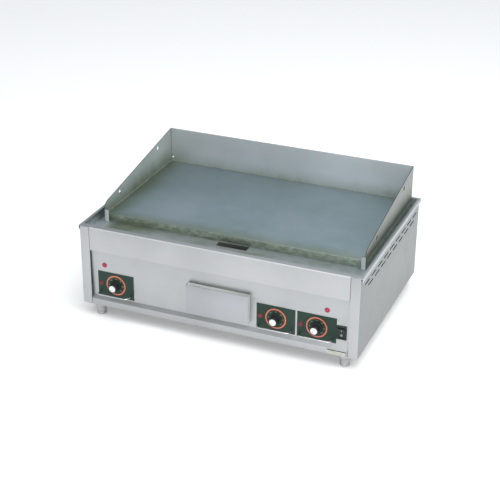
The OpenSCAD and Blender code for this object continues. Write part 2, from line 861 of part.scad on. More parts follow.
// Angle rail under one side of the drawer, with a leg down to the base at its back end
module drawer_rail() {
  z1 = pan_bottom - drawer_play;
  z0 = z1 - rail_t;
  y0 = panel_back;
  y1 = y0 + rail_l;
  block([rail_x - rail_leg, y0, z0], [rail_x + rail_t, y1, z1]);
  block([rail_x, y0, z0], [rail_x + rail_t, y1, z0 + 34]);
  block([rail_x - rail_leg, y1 - rail_t, base_top], [rail_x + rail_t, y1, z1]);
}

module drawer_rail_right() {
  color("silver") place() translate([drawer_x, 0, 0]) drawer_rail();
}

module drawer_rail_left() {
  color("silver") place() translate([drawer_x, 0, 0]) mirror([1, 0, 0]) drawer_rail();
}

// ---- wiring parts on the base ----

module contactor() {
  x = -240;
  y = body_d - 170;
  color("ivory") place() {
    block([x - 28, y - 40, base_top], [x + 28, y + 40, base_top + 42]);
    block([x - 28, y - 26, base_top + 42 - eps], [x + 28, y + 26, base_top + 78]);
    for (k = [-1 : 1], s = [-1, 1]) translate([x + k * 17, y + s * 33, base_top + 42 - eps])
      cylinder(r = 3.5, h = 4);
  }
}

module terminal_block() {
  y = rear_y - 60;
  color("ivory") place() difference() {
    block([gland_x - 45, y - 16, base_top], [gland_x + 45, y + 16, base_top + 26]);
    for (k = [-1.5 : 1.5], s = [-1, 1]) translate([gland_x + k * 21, y + s * 8, base_top + 14])
      cylinder(r = 3, h = 20);
  }
}

module cable_gland() {
  z = bottom_z + gland_z;
  body_r = gland_bore_r + 4;
  color([0.12, 0.12, 0.12]) place() difference() {
    union() {
      bar_y(gland_x, z, body_r, rear_y - 9, body_d + gland_out);
      bar_y(gland_x, z, body_r + 5, body_d, body_d + 6);
      translate([gland_x, rear_y - 6, z]) rotate([-90, 0, 0]) cylinder(r = body_r + 6, h = 6, $fn = 6);
    }
    bar_y(gland_x, z, gland_bore_r, rear_y - 10, body_d + gland_out + 1);
  }
}

// ---- feet ----

// Where the feet stand; child shapes are drawn for the right front foot
module foot_place(p) {
  translate([p[0] * foot_x, p[1] == 0 ? foot_y : body_d - foot_y, 0])
    mirror([p[0] < 0 ? 1 : 0, 0, 0]) mirror([0, p[1], 0]) children();
}

// Tapered sockets; the collar that meets the base keeps clear of the post and the flange
module foot_sockets() {
  color("silver") place() for (p = foot_at) foot_place(p) difference() {
    union() {
      translate([0, 0, socket_end]) cylinder(r1 = foot_r + 2.5, r2 = socket_r, h = socket_h);
      intersection() {
        translate([0, 0, foot_h - eps]) cylinder(r = socket_r, h = base_z - foot_h + eps);
        block([-socket_r, 14.7 - foot_y, 0], [post_x - 0.2 - foot_x, socket_r, base_z + 1]);
      }
    }
    translate([0, 0, socket_end - 1]) cylinder(r = foot_r + 0.05, h = socket_h + 8);
  }
}

// Levelling foot with a turned groove and a chamfered sole
module foot(i) {
  p = foot_at[i - 1];
  top = base_z - foot_travel - 0.5;
  color("darkgray") place() foot_place(p) rotate_extrude() polygon([
    [0, 0], [foot_r - 2, 0], [foot_r, 2], [foot_r, 6], [foot_r - 1, 7], [foot_r - 1, 8.5],
    [foot_r, 9.5], [foot_r, top], [0, top]
  ]);
}

base_pan();
side_panel_left();
side_panel_right();
rear_panel();
front_rail();
front_fascia();
control_panel();
top_pan();
drain_chute();
griddle_plate();
plate_frame();
guard_back();
guard_left();
guard_right();
for (i = [1 : 3]) element(i - 2);
element_clamps();
plate_studs();
stud_nuts();
heat_tray();
insulation_board();
for (i = [1 : 3]) thermostat(i);
bush_nuts();
sensor_bulbs();
for (i = [1 : 3]) shaft(i);
for (i = [1 : 3]) knob(i);
for (i = [1 : 3]) knob_cap(i);
for (i = [1 : 3]) control_plate(i);
heater_lamps();
power_lamps();
for (i = [1 : 3]) guard_bar(i);
switch_case();
switch_rocker();
rating_plate();
drawer_pan();
drawer_front();
drawer_rail_left();
drawer_rail_right();
contactor();
terminal_block();
cable_gland();
foot_sockets();
for (i = [1 : 4]) foot(i);
rear_screws();
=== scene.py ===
import math

import bmesh
import bpy
from mathutils import Matrix, Vector


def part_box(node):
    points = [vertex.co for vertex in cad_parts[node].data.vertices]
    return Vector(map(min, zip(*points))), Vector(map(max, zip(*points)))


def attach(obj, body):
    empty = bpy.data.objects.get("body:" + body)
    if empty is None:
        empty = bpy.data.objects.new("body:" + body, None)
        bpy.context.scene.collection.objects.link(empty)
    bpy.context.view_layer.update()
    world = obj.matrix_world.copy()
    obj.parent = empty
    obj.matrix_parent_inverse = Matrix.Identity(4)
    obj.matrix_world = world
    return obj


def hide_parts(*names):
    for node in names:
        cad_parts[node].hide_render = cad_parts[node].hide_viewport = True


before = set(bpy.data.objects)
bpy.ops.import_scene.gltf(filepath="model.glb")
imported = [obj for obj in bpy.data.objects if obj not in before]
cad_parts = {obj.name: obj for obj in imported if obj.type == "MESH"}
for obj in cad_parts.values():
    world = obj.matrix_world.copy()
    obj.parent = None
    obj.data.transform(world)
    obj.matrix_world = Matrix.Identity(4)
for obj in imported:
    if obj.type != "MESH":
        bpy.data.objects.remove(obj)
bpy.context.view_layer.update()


# ---- cabinet: side panels, rear panel, base pan, front rail ----
# Folded from brushed stainless sheet, spot welded at the flanges. Each side panel carries
# its front post and two rows of punched cooling slots; the rear panel is screwed on.

MM = 0.001


class Reading:
    """A socket in a node tree. Arithmetic on it adds Math nodes to the same tree."""

    def __init__(self, tree, socket=None):
        self.tree = tree
        self.socket = socket

    def node(self, kind, settings=None, inputs=None, out=0):
        """Adds any node: its settings first, then the values or links of its sockets."""
        made = self.tree.nodes.new(kind)
        for name, value in (settings or {}).items():
            setattr(made, name, value)
        for name, value in (inputs or {}).items():
            if isinstance(value, Reading):
                self.tree.links.new(value.socket, made.inputs[name])
            else:
                made.inputs[name].default_value = value
        return Reading(self.tree, made.outputs[out] if len(made.outputs) else None)

    def math(self, operation, first, second=0.0):
        return self.node("ShaderNodeMath", {"operation": operation}, {0: first, 1: second})

    def __add__(self, other):
        return self.math("ADD", self, other)

    __radd__ = __add__

    def __sub__(self, other):
        return self.math("SUBTRACT", self, other)

    def __rsub__(self, other):
        return self.math("SUBTRACT", other, self)

    def __mul__(self, other):
        return self.math("MULTIPLY", self, other)

    __rmul__ = __mul__

    def between(self, low, high):
        """0 below low and 1 above high, with a smooth step from one to the other."""
        return self.node(
            "ShaderNodeMapRange",
            {"interpolation_type": "SMOOTHSTEP"},
            {"Value": self, "From Min": low, "From Max": high},
        )

    def blend(self, first, second):
        """The first colour where this reading is 0 and the second where it is 1."""
        return self.node(
            "ShaderNodeMix", {"data_type": "RGBA"}, {0: self, 6: first, 7: second}, out=2
        )


class Finish(Reading):
    """A material being mixed: readings of the surface, then its shader."""

    def __init__(self, name):
        self.material = bpy.data.materials.new(name)
        self.material.use_nodes = True
        super().__init__(self.material.node_tree)
        self.tree.nodes.clear()
        self.place = self.node("ShaderNodeTexCoord", out="Object")

    def axis(self, letter):
        return self.node("ShaderNodeSeparateXYZ", None, {0: self.place}, out=letter)

    def noise(self, scale, detail=4.0, stretch=(1, 1, 1), rough=0.55):
        spot = self.node("ShaderNodeMapping", None, {"Vector": self.place, "Scale": stretch})
        return self.node(
            "ShaderNodeTexNoise",
            None,
            {"Vector": spot, "Scale": scale, "Detail": detail, "Roughness": rough},
        )

    def surface(self, colour, metal, rough, height=None, bump=0.1, depth=0.0002, **more):
        inputs = {"Base Color": colour, "Metallic": metal, "Roughness": rough}
        if height is not None:
            inputs["Normal"] = self.node(
                "ShaderNodeBump", None, {"Strength": bump, "Distance": depth, "Height": height}
            )
        inputs.update({name.replace("_", " "): value for name, value in more.items()})
        shader = self.node("ShaderNodeBsdfPrincipled", None, inputs)
        self.node("ShaderNodeOutputMaterial", None, {"Surface": shader})
        return self.material


def rgb(r, g, b):
    return (r, g, b, 1.0)


def toned(colour, factor):
    return tuple(min(1.0, c * factor) for c in colour[:3]) + (1.0,)


ALONG_X = (1, 45, 45)
ALONG_Y = (45, 1, 45)


def brushed(name, colour, grain=ALONG_X, rough=0.36, film=None):
    """Stainless sheet: a drawn grain, faint clouding, wiped marks, and an optional film given as
    (colour, clean above, covered below) in metres of height: old grease on the guards, and on the
    fascia, where covered lies above clean, a painted highlight along the top bend."""
    f = Finish(name)
    lines = f.noise(26, 3, grain, 0.7)
    hair = f.noise(120, 2, grain, 0.6)
    clouds = f.noise(4, 3)
    wiped = f.noise(9, 4, (1, 2.5, 1), 0.6).between(0.5, 0.72)
    shade = clouds.between(0.35, 0.68).blend(toned(colour, 0.93), toned(colour, 1.04))
    shade = (lines.between(0.5, 0.85) * 0.4).blend(shade, toned(colour, 0.86))
    gloss = rough + (lines - 0.5) * 0.10 + (clouds - 0.5) * 0.08 + wiped * 0.05
    if film:
        tint, clean, covered = film
        height = f.axis("Z") + (f.noise(14, 4) - 0.5) * 0.5 * abs(clean - covered)
        # On the fascia this mask gives a painted highlight along the top bend.
        grease_and_highlight = 1 - height.between(covered, clean)
        shade = (grease_and_highlight * (0.65 + wiped * 0.25)).blend(shade, tint)
        gloss = gloss + grease_and_highlight * 0.08
    return f.surface(shade, 1.0, gloss, lines * 0.6 + hair * 0.4, 0.14, 0.0001)


def part_mesh(node):
    """A copy of a CAD node's mesh with its doubles merged and its flat faces joined."""
    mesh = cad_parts[node].data.copy()
    bm = bmesh.new()
    bm.from_mesh(mesh)
    bmesh.ops.remove_doubles(bm, verts=bm.verts, dist=2e-6)
    bmesh.ops.dissolve_limit(
        bm, angle_limit=math.radians(0.4), verts=bm.verts, edges=bm.edges
    )
    return mesh, bm


def put(name, mesh, material, body, nodes=(), smooth=35):
    """The finished object: shaded by angle, on its body, in place of its CAD nodes."""
    piece = bpy.data.objects.new(name, mesh)
    mesh.name = name
    bpy.context.scene.collection.objects.link(piece)
    finishes = material if isinstance(material, list) else [material]
    if len(mesh.materials) != len(finishes):
        mesh.materials.clear()
        for finish in finishes:
            mesh.materials.append(finish)
    else:
        for at, finish in enumerate(finishes):
            mesh.materials[at] = finish
    mesh.polygons.foreach_set("use_smooth", [True] * len(mesh.polygons))
    mesh.set_sharp_from_angle(angle=math.radians(smooth))
    if nodes:
        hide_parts(*nodes)
    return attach(piece, body)


def round_edges(bm, chosen, size, steps=2):
    sharp = [
        e for e in bm.edges
        if len(e.link_faces) == 2 and e.calc_face_angle(0) > math.radians(28) and chosen(e)
    ]
    bmesh.ops.bevel(
        bm, geom=sharp, offset=size * MM, segments=steps, profile=0.5,
        affect="EDGES", clamp_overlap=False, offset_type="OFFSET",
    )


def longer(least):
    return lambda e: e.calc_length() > least * MM


def eased(node, name, material, body, size=0.4, least=3.0, bends=(), faces=None):
    """A CAD node with its long edges eased by size, and chosen bends by their own radius."""
    mesh, bm = part_mesh(node)
    for chosen, radius in bends:
        round_edges(bm, chosen, radius, 4)
    round_edges(bm, longer(least), size)
    if faces:
        bm.normal_update()
        for face in bm.faces:
            face.material_index = faces(face)
    mesh.materials.clear()
    for _ in material if isinstance(material, list) else [material]:
        mesh.materials.append(None)
    bm.to_mesh(mesh)
    bm.free()
    return put(name, mesh, material, body, [node])


GREASE = rgb(0.24, 0.28, 0.21)
front_steel = brushed("front_steel", rgb(0.45, 0.455, 0.465))
# The side sheets take a darker copy of the front's brushed steel: painted shade on the sides.
shaded_side_steel = brushed("shaded_side_steel", rgb(0.265, 0.28, 0.28), ALONG_Y, 0.42)
inner_steel = brushed("inner_steel", rgb(0.45, 0.45, 0.45), ALONG_X, 0.45)
front_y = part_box("side_panel_right")[0].y


def on_front(e):
    """The upright outer corner of a post."""
    a, b = (v.co for v in e.verts)
    return abs(a.z - b.z) > 0.1 and a.y < front_y + 1e-5 and abs(a.x) > 0.44


def post_face(face):
    """1 on the front of a post, which takes the front's steel; the rest of the sheet takes a darker
    copy of it, painted shade.
    """
    return int(face.normal.y < -0.6 and face.calc_center_median().y < front_y + 10 * MM)


POST_BEND = 1.4
for side in ("left", "right"):
    eased(
        "side_panel_" + side, "cabinet_side_" + side, [shaded_side_steel, front_steel],
        "cabinet", 0.35, 4.0, [(on_front, POST_BEND)], post_face,
    )
eased("rear_panel", "cabinet_back", front_steel, "cabinet", 0.3)
eased("base_pan", "cabinet_base", inner_steel, "cabinet", 0.3)
eased("front_rail", "cabinet_front_rail", inner_steel, "cabinet", 0.3)


# ---- rear screws ----
# Eight pan-head screws with cross recesses, zinc plated, through the rear panel into the
# side panels' flanges. One head is turned and placed down both rows.

def tree_of(name, **sizes):
    """A geometry tree with named inputs; returns the tree and a reading of each input."""
    tree = bpy.data.node_groups.new(name, "GeometryNodeTree")
    tree.interface.new_socket("Geometry", in_out="INPUT", socket_type="NodeSocketGeometry")
    kinds = {float: "NodeSocketFloat", int: "NodeSocketInt", tuple: "NodeSocketVector",
             bpy.types.Material: "NodeSocketMaterial"}
    for size, kind in sizes.items():
        tree.interface.new_socket(size, in_out="INPUT", socket_type=kinds[kind])
    tree.interface.new_socket("Geometry", in_out="OUTPUT", socket_type="NodeSocketGeometry")
    source = tree.nodes.new("NodeGroupInput")
    given = {s.name: Reading(tree, s) for s in source.outputs if s.name}
    return tree, given


def finish_tree(shape, material):
    """Ends a geometry tree: instances realised, and the material set."""
    real = shape.node("GeometryNodeRealizeInstances", None, {"Geometry": shape})
    real = real.node("GeometryNodeSetMaterial", None, {"Geometry": real, "Material": material})
    real.node("NodeGroupOutput", None, {0: real})


def grown(tree, mesh, move=None, **sizes):
    """Runs a geometry tree on a host mesh and returns the plain mesh it makes."""
    host = bpy.data.objects.new("host", mesh)
    bpy.context.scene.collection.objects.link(host)
    modifier = host.modifiers.new("shape", "NODES")
    modifier.node_group = tree
    for item in tree.interface.items_tree:
        if item.in_out == "INPUT" and item.name in sizes:
            modifier[item.identifier] = sizes[item.name]
    host.update_tag()
    depsgraph = bpy.context.evaluated_depsgraph_get()
    depsgraph.update()
    made = bpy.data.meshes.new_from_object(host.evaluated_get(depsgraph))
    bpy.data.objects.remove(host)
    if move is not None:
        made.transform(move)
    return made


def lathe(profile, steps=48, name="turned"):
    """Spins a profile of (radius, height) in millimetres about Z into a closed solid."""
    mesh = bpy.data.meshes.new(name)
    bm = bmesh.new()
    rings = []
    for radius, height in profile:
        if radius < 1e-6:
            rings.append([bm.verts.new((0, 0, height * MM))])
            continue
        rings.append([
            bm.verts.new((radius * MM * math.cos(a), radius * MM * math.sin(a), height * MM))
            for a in (2 * math.pi * k / steps for k in range(steps))
        ])
    for low, high in zip(rings, rings[1:]):
        for k in range(steps):
            n = (k + 1) % steps
            corners = [low[k % len(low)], low[n % len(low)],
                       high[n % len(high)], high[k % len(high)]]
            unique = list(dict.fromkeys(corners))
            if len(unique) > 2:
                bm.faces.new(unique)
    bmesh.ops.remove_doubles(bm, verts=bm.verts, dist=1e-7)
    bmesh.ops.recalc_face_normals(bm, faces=bm.faces)
    bm.to_mesh(mesh)
    bm.free()
    return mesh


def islands(node):
    """The lowest and highest corner of each loose solid of a CAD node."""
    _, bm = part_mesh(node)
    left, boxes = set(bm.verts), []
    while left:
        todo, seen = [left.pop()], []
        while todo:
            v = todo.pop()
            seen.append(v.co.copy())
            for e in v.link_edges:
                other = e.other_vert(v)
                if other in left:
                    left.remove(other)
                    todo.append(other)
        low = Vector([min(c[k] for c in seen) for k in range(3)])
        boxes.append((low, Vector([max(c[k] for c in seen) for k in range(3)])))
    bm.free()
    return sorted(boxes, key=lambda box: tuple(round(c, 4) for c in box[0]))


def at_points():
    """Stands the host shape on every point of a two-column pattern."""
    tree, given = tree_of(
        "placed_heads", Rows=int, Rise=float, Span=float, Turn=float, Material=bpy.types.Material
    )
    column = given["Rows"].node(
        "GeometryNodeMeshLine", None,
        {"Count": given["Rows"], "Offset": given["Rise"].node(
            "ShaderNodeCombineXYZ", None, {"Y": given["Rise"]})},
    )
    pair = column.node(
        "GeometryNodeMeshLine", None,
        {"Count": 2, "Offset": given["Span"].node(
            "ShaderNodeCombineXYZ", None, {"X": given["Span"]})},
    )
    both = pair.node("GeometryNodeInstanceOnPoints", None, {"Points": pair, "Instance": column})
    points = both.node("GeometryNodeRealizeInstances", None, {"Geometry": both})
    angle = points.node(
        "FunctionNodeRandomValue", {"data_type": "FLOAT"},
        {2: 0.0, 3: given["Turn"], "Seed": 7}, out=1,
    )
    turned = angle.node("ShaderNodeCombineXYZ", None, {"Z": angle})
    heads = points.node(
        "GeometryNodeInstanceOnPoints", None,
        {"Points": points, "Instance": given["Geometry"], "Rotation": turned},
    )
    finish_tree(heads, given["Material"])
    return tree


def plated(name, colour, rough=0.28):
    f = Finish(name)
    mottle = f.noise(420, 3)
    dull = f.noise(60, 3).between(0.4, 0.7)
    shade = dull.blend(colour, toned(colour, 0.8))
    return f.surface(shade, 1.0, rough + mottle * 0.12 + dull * 0.08, mottle, 0.08, 0.0001)


zinc = plated("zinc_plate", rgb(0.58, 0.59, 0.60))
screw_boxes = islands("rear_screws")
screw_low, screw_high = screw_boxes[0]
head_r = (screw_high.x - screw_low.x) / 2 / MM
head_h = 2.4
screw_head = lathe([
    (0, -1.0), (head_r * 0.5, -1.0), (head_r * 0.5, 0), (head_r, 0), (head_r, head_h * 0.35),
    (head_r * 0.88, head_h * 0.72), (head_r * 0.6, head_h * 0.94), (0, head_h),
], 28, "screw_head")


def cross_recess(mesh, reach, width, deep, top):
    """Presses a cross into the top of a head."""
    cutter = bmesh.new()
    for turn in (0, math.pi / 2):
        size = Matrix.Diagonal((2 * reach * MM, width * MM, 2 * deep * MM, 1))
        place = Matrix.Translation((0, 0, top * MM)) @ Matrix.Rotation(turn, 4, "Z") @ size
        bmesh.ops.create_cube(cutter, size=1.0, matrix=place)
    tool_mesh = bpy.data.meshes.new("recess")
    cutter.to_mesh(tool_mesh)
    cutter.free()
    return cut(mesh, tool_mesh)


def cut(mesh, tool_mesh):
    """The mesh with the tool taken out of it."""
    body = bpy.data.objects.new("cut_body", mesh)
    tool = bpy.data.objects.new("cut_tool", tool_mesh)
    for o in (body, tool):
        bpy.context.scene.collection.objects.link(o)
    step = body.modifiers.new("cut", "BOOLEAN")
    step.operation = "DIFFERENCE"
    step.solver = "EXACT"
    step.use_self = True
    step.object = tool
    depsgraph = bpy.context.evaluated_depsgraph_get()
    depsgraph.update()
    made = bpy.data.meshes.new_from_object(body.evaluated_get(depsgraph))
    bpy.data.objects.remove(body)
    bpy.data.objects.remove(tool)
    return made


screw_head = cross_recess(screw_head, head_r * 0.5, 0.8, 1.1, head_h)
screw_z = sorted({round((low.z + high.z) / 2, 4) for low, high in screw_boxes})
outward = Matrix.Translation((
    (screw_low.x + screw_high.x) / 2, screw_high.y - head_h * MM, screw_z[0]
)) @ Matrix.Rotation(math.radians(-90), 4, "X") @ Matrix.Diagonal((1, -1, 1, 1))
span = screw_boxes[-1][0].x - screw_boxes[0][0].x
head_rows = at_points()
screws = grown(
    head_rows, screw_head, outward, Rows=len(screw_z), Rise=(screw_z[1] - screw_z[0]),
    Span=span, Turn=3.0, Material=zinc,
)
screws.flip_normals()
put("rear_screw_heads", screws, zinc, "cabinet", ["rear_screws"])


# ---- feet ----
# Four turned levelling feet, satin aluminium, threaded up into tapered sockets that are
# pressed from sheet and welded under the base.

def turned_metal(name, colour):
    f = Finish(name)
    rings = f.noise(300, 2, (1, 1, 9), 0.6)
    worn = f.noise(70, 4).between(0.45, 0.7)
    shade = worn.blend(colour, toned(colour, 0.86))
    return f.surface(shade, 1.0, 0.38 + (rings - 0.5) * 0.14 + worn * 0.08, rings, 0.12, 0.0001)


foot_metal = turned_metal("foot_aluminium", rgb(0.50, 0.50, 0.50))
for number in (1, 2, 3, 4):
    low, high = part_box(f"foot_{number}")
    r = (high.x - low.x) / 2 / MM
    tall = (high.z - low.z) / MM
    foot = lathe([
        (0, 0), (r - 3.2, 0), (r - 1.6, 0.4), (r - 0.4, 1.4), (r, 3.0), (r, 5.6), (r - 0.3, 6.2),
        (r - 1.2, 6.8), (r - 1.2, 8.4), (r - 0.3, 9.0), (r, 9.6), (r, tall - 0.5), (r - 0.5, tall),
        (0, tall),
    ], 56, "foot")
    foot.transform(Matrix.Translation(((low.x + high.x) / 2, (low.y + high.y) / 2, low.z)))
    put(f"levelling_foot_{number}", foot, foot_metal, f"levelling_foot_{number}",
        [f"foot_{number}"])
eased("foot_sockets", "levelling_foot_sockets", foot_metal, "cabinet", 0.5, 1.0)


# ---- fascia and control panel ----
# Two folded stainless sheets between the posts: the fascia, bent over at the rim, and the
# control panel, which stands back and comes out again over a sloping ledge.

fascia_low, fascia_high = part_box("front_fascia")


def level_bend(above=-math.inf, below=math.inf):
    """Picks the long level edges on the cabinet's front between two heights."""
    def pick(e):
        a, b = (v.co for v in e.verts)
        return (
            abs(a.x - b.x) > 0.5 and max(a.y, b.y) < front_y + 1e-4
            and min(a.z, b.z) > above and max(a.z, b.z) < below
        )
    return pick


FASCIA_BEND = 1.3
# Its film is a pale band along the top bend: a painted highlight.
fascia_steel = brushed(
    "fascia_steel", rgb(0.45, 0.455, 0.465), ALONG_X, 0.36,
    (rgb(0.68, 0.69, 0.71), fascia_high.z - 0.0042, fascia_high.z - 0.0022),
)
eased(
    "front_fascia", "front_fascia_sheet", fascia_steel, "cabinet", 0.3, 3.0,
    [(level_bend(above=fascia_high.z - 1e-4), FASCIA_BEND),
     (level_bend(below=fascia_low.z + 1e-4), FASCIA_BEND)],
)


panel_steel = brushed("panel_steel", rgb(0.42, 0.43, 0.435))
eased("control_panel", "control_panel_sheet", panel_steel, "cabinet", 0.3, 4.0)


# ---- grease pan and drain ----
# A deep tray of stainless sheet let into the top: a flat rim with a hanging lip, a gutter
# all round the plate, and a slot over a chute that drops the grease into the drawer.

def greased_pan(name, rim_z):
    """Dull blue-grey rim, a painted reflection that lightens towards the right end, and a gutter
    where pale rinsed steel shows between olive patches, more of it towards the right and at the far
    left end."""
    f = Finish(name)
    lines = f.noise(26, 3, ALONG_X, 0.7)
    across = f.axis("X")
    patches = f.noise(9, 3, (0.4, 1.2, 1.2), 0.5) - across * 0.42
    patches = patches - across.between(-0.36, -0.42) * 0.4
    rinsed = f.noise(40, 3).between(0.25, 0.75).blend(rgb(0.40, 0.45, 0.46), rgb(0.48, 0.54, 0.59))
    oily = f.noise(22, 3).between(0.2, 0.8).blend(rgb(0.19, 0.22, 0.165), rgb(0.28, 0.315, 0.25))
    gutter = patches.between(0.26, 0.74).blend(rinsed, oily)
    # The rim's dark tone, lightening towards the right end, is a painted reflection.
    rim = across.between(-0.45, 0.2).blend(rgb(0.33, 0.355, 0.365), rgb(0.46, 0.485, 0.50))
    rim = (lines.between(0.4, 0.8) * 0.4).blend(rim, rgb(0.29, 0.31, 0.32))
    sunk = 1 - f.axis("Z").between(rim_z - 0.020, rim_z - 0.004)
    shade = sunk.blend(rim, gutter)
    gloss = 0.38 + (lines - 0.5) * 0.1 + sunk * 0.16
    return f.surface(shade, 0.9, gloss, lines, 0.12, 0.0001)


pan_steel = greased_pan("pan_steel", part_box("top_pan")[1].z)
eased("top_pan", "grease_pan", pan_steel, "cabinet", 0.6, 3.0)
eased("drain_chute", "drain_chute_box", inner_steel, "cabinet", 0.2)


# ---- griddle plate ----
# A slab of ground steel, seasoned blue-grey by heat and oil, on four bars that hold it
# over the gutter. Its edges stay rough and brown with baked oil.

def seasoned(name, low):
    """Blue-grey steel, with a film of olive oil baked on along the front and left margins."""
    f = Finish(name)
    broad = f.noise(4, 4)
    mottle = f.noise(30, 5)
    grind = f.noise(22, 3, (1, 26, 1), 0.7)
    shade = broad.between(0.3, 0.7).blend(rgb(0.225, 0.300, 0.325), rgb(0.285, 0.350, 0.395))
    shade = (mottle.between(0.4, 0.75) * 0.3).blend(shade, rgb(0.31, 0.37, 0.40))
    shade = (grind.between(0.5, 0.8) * 0.25).blend(shade, rgb(0.21, 0.27, 0.29))
    drift = (broad - 0.5) * 0.05
    front = (f.axis("Y") + drift).between(low.y + 0.060, low.y)
    left = (f.axis("X") + drift).between(low.x + 0.085, low.x + 0.004)
    film = f.math("MAXIMUM", front * 0.62, left * 0.85)
    shade = film.blend(shade, rgb(0.165, 0.205, 0.150))
    gloss = 0.44 + (mottle - 0.5) * 0.14 + (grind - 0.5) * 0.12 + film * 0.06
    return f.surface(shade, 0.85, gloss, grind * 0.6 + mottle * 0.4, 0.16, 0.0002)


def baked(name):
    f = Finish(name)
    crust = f.noise(45, 6, (1, 1, 2), 0.65)
    shade = crust.between(0.3, 0.7).blend(rgb(0.17, 0.20, 0.155), rgb(0.33, 0.37, 0.31))
    return f.surface(shade, 0.55, 0.5 + (crust - 0.5) * 0.25, crust, 0.35, 0.0005)


plate_top_steel = seasoned("seasoned_plate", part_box("griddle_plate")[0])
plate_edge_steel = baked("baked_plate_edge")
eased(
    "griddle_plate", "griddle_plate_slab", [plate_top_steel, plate_edge_steel], "cabinet",
    1.0, 3.0, (), lambda face: 0 if face.normal.z > 0.5 else 1,
)
eased("plate_frame", "griddle_plate_bars", plate_edge_steel, "cabinet", 0.4)


# ---- splash guard ----
# Three stainless sheets welded on the plate's back and side edges, with rounded front
# corners, two lifting holes in each side and a dark bead in the crease along the foot: painted
# shade, coloured as baked oil.

plate_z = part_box("griddle_plate")[1].z
guard_steel = brushed(
    "guard_steel", rgb(0.66, 0.68, 0.69), ALONG_X, 0.56, (GREASE, plate_z + 0.050, plate_z - 0.020)
)
side_film = (rgb(0.13, 0.165, 0.11), plate_z + 0.070, plate_z - 0.006)
# The guard sheets' faces are copies of one steel in different tones: the outer face and the
# near-black edges are painted shade, the bright front flange painted light.
guard_inside_lit = brushed("guard_inside_lit", rgb(0.60, 0.64, 0.61), ALONG_Y, 0.60, side_film)
guard_outside_shaded = brushed("guard_outside_shaded", rgb(0.36, 0.375, 0.36), ALONG_Y, 0.55, side_film)
edge_painted_shade = brushed("guard_cut_edge", rgb(0.07, 0.085, 0.075), ALONG_Y, 0.55)
guard_flange_lit = brushed("guard_flange_lit", rgb(0.70, 0.72, 0.72), ALONG_X, 0.55)
# The back sheet's edges take the near-black edge steel: painted shade.
eased(
    "guard_back", "splash_guard_back", [guard_steel, edge_painted_shade], "cabinet",
    0.4, 3.0, (), lambda face: 0 if abs(face.normal.y) > 0.6 else 1,
)
FLANGE_AREA = 3e-4


def guard_faces(inward):
    """Inner face, outer face or sheared edge of a side sheet, and its front flange: copies of one
    steel, the outer face and near-black edge darker as painted shade, the flange brighter as
    painted light.
    """
    def pick(face):
        if abs(face.normal.y) > 0.6 and face.calc_area() > FLANGE_AREA:
            return 3
        if abs(face.normal.x) < 0.6:
            return 2
        return 0 if face.normal.x * inward > 0 else 1
    return pick


for side, inward in (("left", 1), ("right", -1)):
    eased("guard_" + side, "splash_guard_" + side,
          [guard_inside_lit, guard_outside_shaded, edge_painted_shade, guard_flange_lit],
          "cabinet", 0.4, 3.0, (), guard_faces(inward))


def swept_rod():
    """Sweeps a round rod along the host's edges, its corners rounded and its girth uneven."""
    tree, given = tree_of(
        "swept_rod", Bend=float, Radius=float, Rough=float, Grain=float, Sides=int,
        Material=bpy.types.Material,
    )
    line = given["Geometry"].node("GeometryNodeMeshToCurve", None, {"Mesh": given["Geometry"]})
    line = line.node(
        "GeometryNodeFilletCurve", {"mode": "POLY"},
        {"Curve": line, "Count": 10, "Radius": given["Bend"], "Limit Radius": True},
    )
    spot = line.node("GeometryNodeInputPosition")
    uneven = line.node(
        "ShaderNodeTexNoise", None, {"Vector": spot, "Scale": given["Grain"], "Detail": 2.0}
    )
    ring = line.node(
        "GeometryNodeCurvePrimitiveCircle", None,
        {"Resolution": given["Sides"], "Radius": given["Radius"]},
    )
    rod = line.node(
        "GeometryNodeCurveToMesh", None,
        {"Curve": line, "Profile Curve": ring, "Fill Caps": True,
         "Scale": 1 + (uneven - 0.5) * given["Rough"]},
    )
    finish_tree(rod, given["Material"])
    return tree


def path_mesh(*runs):
    """Open runs of points joined by edges."""
    mesh = bpy.data.meshes.new("path")
    verts, edges = [], []
    for run in runs:
        edges += [(len(verts) + k, len(verts) + k + 1) for k in range(len(run) - 1)]
        verts += [tuple(p) for p in run]
    mesh.from_pydata(verts, edges, [])
    return mesh


def stepped(a, b, step):
    """Points from a to b, no further apart than step."""
    a, b = Vector(a), Vector(b)
    count = max(1, math.ceil((b - a).length / step))
    return [a.lerp(b, k / count) for k in range(count + 1)]


rod_tree = swept_rod()
crust = baked("crease_shade_crust")
back_low, back_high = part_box("guard_back")
plate_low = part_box("griddle_plate")[0]
SHADE_BEAD_STEP = 0.006
INSET = 0.0004
foot_z = plate_z + INSET
inner_x = back_high.x - INSET
back_y = back_low.y - INSET
# A dark bead laid in the crease along the guards' foot and up the back corners: painted shade,
# coloured as baked oil.
crease_shade_runs = [stepped((-inner_x, back_y, foot_z), (inner_x, back_y, foot_z), SHADE_BEAD_STEP)]
for s in (-1, 1):
    x = s * inner_x
    crease_shade_runs.append(
        stepped((x, plate_low.y + 0.002, foot_z), (x, back_low.y, foot_z), SHADE_BEAD_STEP)
    )
    crease_shade_runs.append(
        stepped((x, back_y, foot_z), (x, back_y, back_high.z - 0.001), SHADE_BEAD_STEP)
    )
crease_shade_bead = grown(
    rod_tree, path_mesh(*crease_shade_runs), None, Bend=0.0, Radius=0.0011, Rough=1.4, Grain=60.0,
    Sides=8, Material=crust,
)
put("crease_shade_line", crease_shade_bead, crust, "cabinet", smooth=80)


# ---- heating under the plate ----
# Three looped heating elements clamped up against the plate on welded studs, sensor bulbs
# beside them, and an insulated tray that closes the space.

def speckled(name, dark, light, metal, rough, grain=160, bump=0.1):
    f = Finish(name)
    spots = f.noise(grain, 4)
    cloud = f.noise(18, 3)
    shade = spots.between(0.35, 0.65).blend(dark, light)
    return f.surface(shade, metal, rough + (cloud - 0.5) * 0.12, spots, bump, 0.0002)


